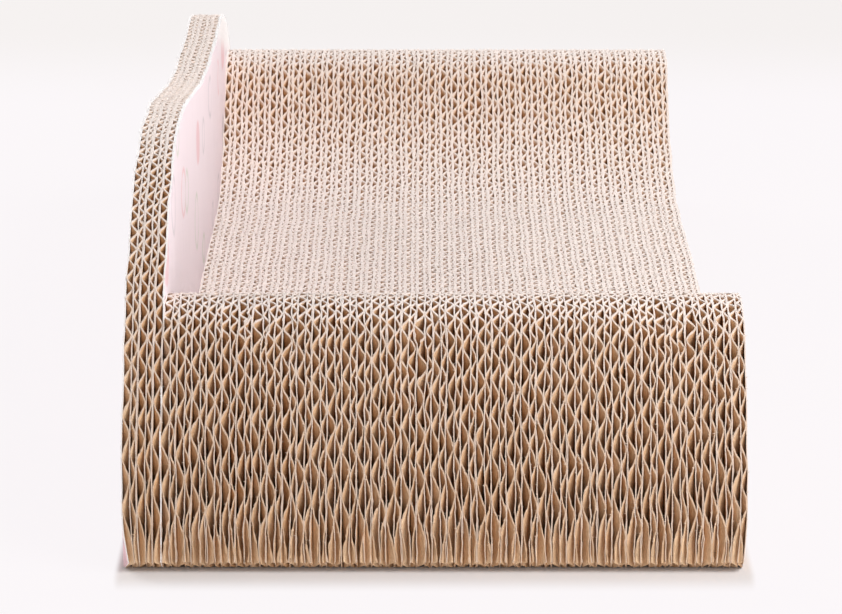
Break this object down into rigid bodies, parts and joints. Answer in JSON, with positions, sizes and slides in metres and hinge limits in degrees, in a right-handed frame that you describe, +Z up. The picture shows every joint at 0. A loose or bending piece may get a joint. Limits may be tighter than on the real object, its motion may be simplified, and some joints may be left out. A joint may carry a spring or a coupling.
{
  "type": "cardboard cat scratcher",
  "caption": "Lounge-shaped cat scratcher of upright corrugated boards glued face to face, with a rounded arm at each end, a dipped seat and a taller wavy backrest along one side.",
  "frame": {"origin": "middle of the footprint, on the floor", "axes": "+X across the boards from the backrest to the open side, +Y along the lounge from the hump's end to the far arm, +Z up"},
  "size_m": [0.2746, 0.579, 0.1619],
  "materials": {
    "corrugated_board": "bare kraft corrugated board, matte, with open flutes on every cut edge",
    "kraft_paper": "bare kraft liner and fluting paper, matte",
    "printed_paper": "white-backed paper printed pale pink, with a satin coating"
  },
  "bodies": {
    "root": {"seat_board_01": "corrugated_board", "seat_board_02": "corrugated_board", "seat_board_03": "corrugated_board", "seat_board_04": "corrugated_board", "seat_board_05": "corrugated_board", "seat_board_06": "corrugated_board", "seat_board_07": "corrugated_board", "seat_board_08": "corrugated_board", "seat_board_09": "corrugated_board", "seat_board_10": "corrugated_board", "seat_board_11": "corrugated_board", "seat_board_12": "corrugated_board", "seat_board_13": "corrugated_board", "seat_board_14": "corrugated_board", "seat_board_15": "corrugated_board", "seat_board_16": "corrugated_board", "seat_board_17": "corrugated_board", "seat_board_18": "corrugated_board", "seat_board_19": "corrugated_board", "seat_board_20": "corrugated_board", "seat_board_21": "corrugated_board", "seat_board_22": "corrugated_board", "seat_board_23": "corrugated_board", "seat_board_24": "corrugated_board", "seat_board_25": "corrugated_board", "seat_board_26": "corrugated_board", "seat_board_27": "corrugated_board", "seat_board_28": "corrugated_board", "seat_board_29": "corrugated_board", "seat_board_30": "corrugated_board", "seat_board_31": "corrugated_board", "seat_board_32": "corrugated_board", "seat_board_33": "corrugated_board", "seat_board_34": "corrugated_board", "seat_board_35": "corrugated_board", "seat_board_36": "corrugated_board", "seat_board_37": "corrugated_board", "seat_board_38": "corrugated_board", "seat_board_39": "corrugated_board", "backrest_outer_printed_liner": "printed_paper", "backrest_outer_c_medium": "kraft_paper", "backrest_outer_middle_liner": "kraft_paper", "backrest_outer_b_medium": "kraft_paper", "backrest_outer_plain_liner": "kraft_paper", "backrest_core_left_liner": "kraft_paper", "backrest_core_c_medium": "kraft_paper", "backrest_core_middle_liner": "kraft_paper", "backrest_core_b_medium": "kraft_paper", "backrest_core_right_liner": "kraft_paper", "backrest_inner_plain_liner": "kraft_paper", "backrest_inner_c_medium": "kraft_paper", "backrest_inner_printed_liner": "printed_paper"}
  },
  "joints": []
}
